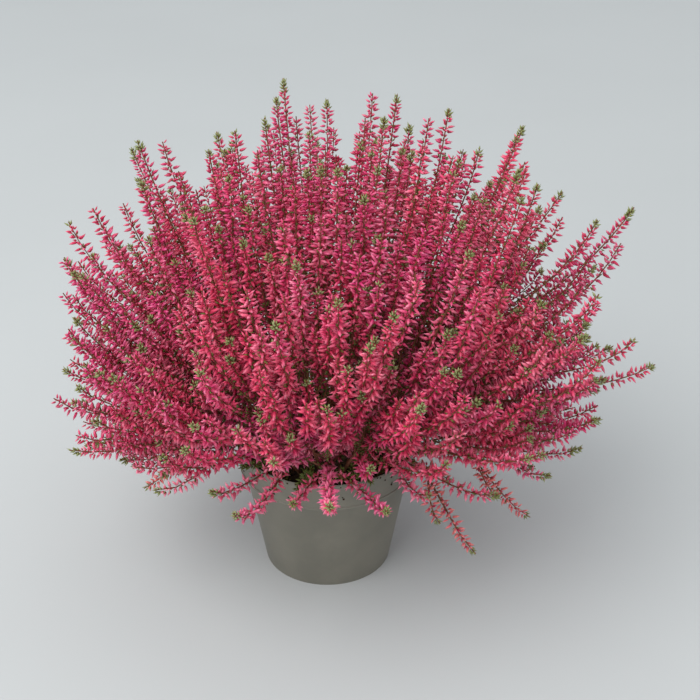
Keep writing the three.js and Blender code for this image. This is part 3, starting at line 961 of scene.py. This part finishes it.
def growSprigs():
    dice = np.random.RandomState(sprigs["seed"])
    growth = newGrowth()
    for i in range(sprigs["count"]):
        azimuth = i * goldenAngle
        radius = lerp(*sprigs["radius"], math.sqrt((i + 0.5) / sprigs["count"]))
        out = heading(math.pi / 2, azimuth)
        splay = min(sprigs["splay"], sprigs["radius"][1] - radius)
        foot = out * radius + (0, 0, sprigs["foot"])
        tip = foot + out * splay + (0, 0, dice.uniform(*sprigs["rise"]))
        tip += np.append(dice.normal(0, sprigs["scatter"], 2), 0)
        line = Line(np.linspace(foot, tip, sprigs["points"]))
        end = line.length - sprigs["shortOfTip"]
        growth["twigs"].append((line, sprigs["thick"]))
        growth["needles"].append(whorls(line, sidewaysOf(azimuth), sprigs["bare"], end, sprigNeedles, dice))
    dress(growth, "rimSprigs")


growSprigs()
report("sprigs are grown")


# Trailing shoots with faded flowers

trailing = {
    "seed": 200, "azimuths": (-9, -36, 174), "lean": math.radians(106), "reach": (132, 112, 122), "root": 42,
    "startLean": math.radians(24), "endLean": math.radians(112), "reachIn": 0.74, "rings": 9,
    "tuft": 6, "thick": 1.1, "tone": 0.75, "age": 0.95,
    "sides": ((0.0, 1), (0.15, -1), (0.3, 1), (0.42, -1)),  # share of the flowered length, and which way
    "sidesBefore": 12, "sideRise": (-0.1, 0.5), "sideAlong": (22, 32), "sideOut": (9, 15),
    "side": {"bare": 4, "tuft": 5, "thick": 0.6},
}


def growTrailing(i):
    dice = np.random.RandomState(trailing["seed"] + i)
    azimuth = math.radians(trailing["azimuths"][i])
    tip = crown + heading(trailing["lean"], azimuth) * trailing["reach"][i]
    foot = footOf(trailing["root"], azimuth)
    line = stemLine(foot, tip, trailing["startLean"], trailing["endLean"], azimuth, trailing["reachIn"])
    bare = line.length - trailing["rings"] * spike["pitch"] - spike["tuft"]
    growth = newGrowth()
    sideways = sidewaysOf(azimuth)
    tone, age = trailing["tone"], trailing["age"]
    grow(growth, line, sideways, dice, tone, age, bare, trailing["tuft"], trailing["thick"])
    for share, sign in trailing["sides"]:
        start = lerp(bare - trailing["sidesBefore"], line.length, share)
        base, along = line.placeAt(start), line.directionAt(start)
        across = unit(sideways * sign + np.array([0, 0, dice.uniform(*trailing["sideRise"])]))
        sideTip = base + along * dice.uniform(*trailing["sideAlong"])
        sideTip = sideTip + across * dice.uniform(*trailing["sideOut"])
        branch = branchLine(base, along, across, sideTip, trailing["endLean"], azimuth)
        grow(growth, branch, sideways, dice, tone, age, **trailing["side"])
    number = f"{i + 1:02d}"
    node, flowerName = f"trailing_shoot_{number}", f"fadedFlowers_{number}"
    dress(growth, f"trailingTwigs_{number}", node, flowerName, fadedPetals)


for i in range(len(trailing["azimuths"])):
    growTrailing(i)
report("trailing shoots are grown")


# Leafy shoots, between the outermost sprays

leafy = {
    "seed": 5, "needleSeed": 300, "count": 13, "root": 43, "lean": math.radians(71.5), "reach": 84,
    "startLean": math.radians(6), "shortest": 0.86, "thick": 1.0, "bare": 17,
}
leafyNeedles = {
    **sprigNeedles, "pitch": 1.7, "around": 4, "length": 4.6, "scatter": 0.18, "tone": 0.35, "kind": 0.3,
}


def growLeafy():
    draw = makeDraw(leafy["seed"])
    outer = sorted(spray["azimuth"] % (2 * math.pi) for spray in sprays[-leafy["count"]:])
    for i in range(leafy["count"]):
        after = outer[i + 1] if i + 1 < leafy["count"] else outer[0] + 2 * math.pi
        azimuth = (outer[i] + after) / 2
        reach = leafy["reach"] * lerp(leafy["shortest"], 1, draw())
        dice = np.random.RandomState(leafy["needleSeed"] + i)
        tip = crown + heading(leafy["lean"], azimuth) * reach
        line = stemLine(footOf(leafy["root"], azimuth), tip, leafy["startLean"], leafy["lean"], azimuth)
        needles = whorls(line, sidewaysOf(azimuth), leafy["bare"], line.length, leafyNeedles, dice)
        growth = newGrowth()
        growth["twigs"].append((line, leafy["thick"]))
        growth["needles"].append(needles)
        dress(growth, f"leafyShoot_{i + 1:02d}", f"leafy_shoot_{i + 1:02d}")


growLeafy()
report("leafy shoots are grown")


# Pot

pot = {
    "height": 84, "rimRadius": 54.5, "band": 19, "taper": 1.4, "step": 2.6, "baseRadius": 39, "wall": 1.2,
    "slope": 0.8, "bead": 0.5, "beadHeight": 1.3, "lip": 0.4, "lipHeight": 2,
    "footHeight": 3, "footWidth": 5, "footSlope": 1, "disc": 17, "floor": 1.6,
    "drains": 8, "drainCircle": 25.5, "drainRadius": 4, "drainSides": 24, "drillMiddle": 4, "drillLength": 6,
    "sides": 128, "edge": 0.3, "edgeRings": 2, "edgeAngle": math.radians(28), "smoothAngle": math.radians(35),
}


def drawThrough(height, radius, rings):  # extrudes the selected face from ring to ring
    for nextHeight, nextRadius in rings:
        rise, widen = (nextHeight - height) * mm, nextRadius / radius
        bpy.ops.mesh.extrude_region_move(TRANSFORM_OT_translate={"value": (0, 0, rise)})
        bpy.ops.transform.resize(value=(widen, widen, 1))
        height, radius = nextHeight, nextRadius


def modelPot():
    rimFoot = pot["height"] - pot["band"]
    wallTop = pot["rimRadius"] - pot["taper"] - pot["step"]
    bandFoot = pot["rimRadius"] - pot["taper"]
    beadFoot = rimFoot + pot["slope"]
    beadTop = beadFoot + pot["beadHeight"]
    lipTop = pot["height"] - pot["slope"]
    lipFoot = lipTop - pot["lipHeight"]
    bandFloor = rimFoot + pot["wall"]
    floorTop = pot["footHeight"] + pot["floor"]

    def insideAt(height):
        return lerp(pot["baseRadius"], wallTop, height / rimFoot) - pot["wall"]

    deselectAll()
    bpy.ops.mesh.primitive_cone_add(
        vertices=pot["sides"], radius1=pot["baseRadius"] * mm, radius2=wallTop * mm,
        depth=rimFoot * mm, location=(0, 0, rimFoot * mm / 2),
    )
    piece = bpy.context.object
    piece.name = "potBody"
    settle(piece)
    pickParts(piece, "FACE", lambda face: face.normal.z > 1 - nearly)
    drawThrough(rimFoot, wallTop, (
        (beadFoot, bandFoot + pot["bead"]),
        (beadTop, bandFoot + pot["bead"]),
        (beadTop + pot["lip"], bandFoot),
        (lipFoot - pot["lip"], pot["rimRadius"] - pot["lip"]),
        (lipFoot, pot["rimRadius"]),
        (lipTop, pot["rimRadius"]),
        (pot["height"], pot["rimRadius"] - pot["wall"] / 2),
        (lipTop, pot["rimRadius"] - pot["wall"]),
        (bandFloor + pot["slope"], bandFoot - pot["wall"]),
        (bandFloor, insideAt(bandFloor)),
        (floorTop, insideAt(floorTop)),
    ))
    pickParts(piece, "FACE", lambda face: face.normal.z < nearly - 1 and face.center.z < mm)
    footInside = pot["baseRadius"] - pot["footWidth"]
    drawThrough(0, pot["baseRadius"], (
        (0, footInside),
        (pot["footHeight"], footInside - pot["footSlope"]),
        (pot["footHeight"], pot["disc"] + pot["footSlope"]),
        (0, pot["disc"]),
    ))
    bpy.ops.object.mode_set(mode="OBJECT")
    return piece


def drillDrains(piece):
    deselectAll()
    drills = []
    for i in range(pot["drains"]):
        place = heading(math.pi / 2, i * 2 * math.pi / pot["drains"]) * pot["drainCircle"]
        place[2] = pot["drillMiddle"]
        bpy.ops.mesh.primitive_cylinder_add(
            vertices=pot["drainSides"], radius=pot["drainRadius"] * mm,
            depth=pot["drillLength"] * mm, location=place * mm,
        )
        drills.append(bpy.context.object)
    deselectAll()
    for drill in drills:
        drill.select_set(True)
    bpy.context.view_layer.objects.active = drills[0]
    bpy.ops.object.join()
    drill = bpy.context.object
    applyModifier(piece, "BOOLEAN", operation="DIFFERENCE", object=drill, solver="EXACT")
    bpy.data.objects.remove(drill)


def finishPot(piece):
    width, segments, angle = pot["edge"] * mm, pot["edgeRings"], pot["edgeAngle"]
    applyModifier(piece, "BEVEL", width=width, segments=segments, limit_method="ANGLE", angle_limit=angle)
    pickOnly(piece)
    bpy.ops.object.shade_smooth_by_angle(angle=pot["smoothAngle"])
    piece.data.materials.append(taupe)
    handOver(piece, "pot")


potPiece = modelPot()
drillDrains(potPiece)
finishPot(potPiece)
report("pot is modelled")


# Soil, with loose crumbs on it and specks of it on the pot's rim

soil = {
    "seed": 11, "top": 71, "thick": 3, "radius": 51.2, "sides": 96, "rings": 14,
    "unevenness": 1.2, "wave": 52, "lumps": (-0.6, 0.5),
}
crumbs = {
    "seed": 12, "count": 1100, "edgeRoom": 1.5, "size": (0.7, 2.6), "sizeShare": (0.6, 1), "flat": (0.5, 1),
    "lift": 0.1,
}
specks = {"seed": 13, "count": 110, "down": (0.08, 0.85), "upwards": 1.4, "size": (0.5, 1.7), "flat": 0.5}


def soilHeight(x, y):
    wave = 2 * math.pi / soil["wave"]
    return soil["top"] + soil["unevenness"] * np.sin(x * wave + 1) * np.cos(y * wave)


def modelSoil():
    deselectAll()
    bpy.ops.mesh.primitive_cylinder_add(
        vertices=soil["sides"], radius=soil["radius"] * mm, depth=soil["thick"] * mm,
        location=(0, 0, (soil["top"] - soil["thick"] / 2) * mm),
    )
    piece = bpy.context.object
    piece.name = "soilBody"
    settle(piece)
    pickParts(piece, "FACE", lambda face: face.normal.z > 1 - nearly)
    for i in range(soil["rings"]):
        bpy.ops.mesh.inset(thickness=soil["radius"] * mm / (soil["rings"] + 1))
    bpy.ops.mesh.poke()
    bpy.ops.object.mode_set(mode="OBJECT")
    dice = np.random.RandomState(soil["seed"])
    for point in piece.data.vertices:
        if point.co.z > (soil["top"] - 1) * mm:
            x, y = point.co.x / mm, point.co.y / mm
            point.co.z = (soilHeight(x, y) + dice.uniform(*soil["lumps"])) * mm
    bpy.ops.object.shade_smooth()
    return piece


def scatterCrumbs():
    dice = np.random.RandomState(crumbs["seed"])
    count = crumbs["count"]
    radius = (soil["radius"] - crumbs["edgeRoom"]) * np.sqrt(dice.uniform(0, 1, count))
    turn = dice.uniform(0, 2 * math.pi, count)
    x, y = radius * np.cos(turn), radius * np.sin(turn)
    size = dice.uniform(*crumbs["size"], count) * dice.uniform(*crumbs["sizeShare"], count)
    place = np.column_stack([x, y, soilHeight(x, y) + size * crumbs["lift"]])
    axis = dice.normal(0, 1, (count, 3))
    length = size * dice.uniform(*crumbs["flat"], count)
    rows = np.column_stack([place, axis, size, length, dice.uniform(0, 1, count), np.zeros(count)])
    return copies(crumbForm, rows)


def scatterSpecks():  # peat that clings to the rim band
    dice = np.random.RandomState(specks["seed"])
    count = specks["count"]
    turn = dice.uniform(0, 2 * math.pi, count)
    height = pot["height"] - pot["band"] * dice.uniform(*specks["down"], count) ** specks["upwards"]
    radius = pot["rimRadius"] - pot["taper"] * (pot["height"] - height) / pot["band"]
    out = np.column_stack([np.cos(turn), np.sin(turn), np.zeros(count)])
    place = out * radius[:, None] + np.column_stack([np.zeros(count), np.zeros(count), height])
    size = dice.uniform(*specks["size"], count)
    length = size * specks["flat"]
    rows = np.column_stack([place, out, size, length, dice.uniform(0, 1, count), np.zeros(count)])
    return copies(crumbForm, rows)


soilPiece = modelSoil()
crumbPiece = meshFrom("crumbs", *scatterCrumbs(), smooth=False)
speckPiece = meshFrom("specks", *scatterSpecks(), smooth=False)
for piece, node in ((soilPiece, "soil"), (crumbPiece, None), (speckPiece, None)):
    piece.data.materials.append(peat)
    handOver(piece, node)
report("soil is laid")

deselectAll()
bpy.context.view_layer.update()
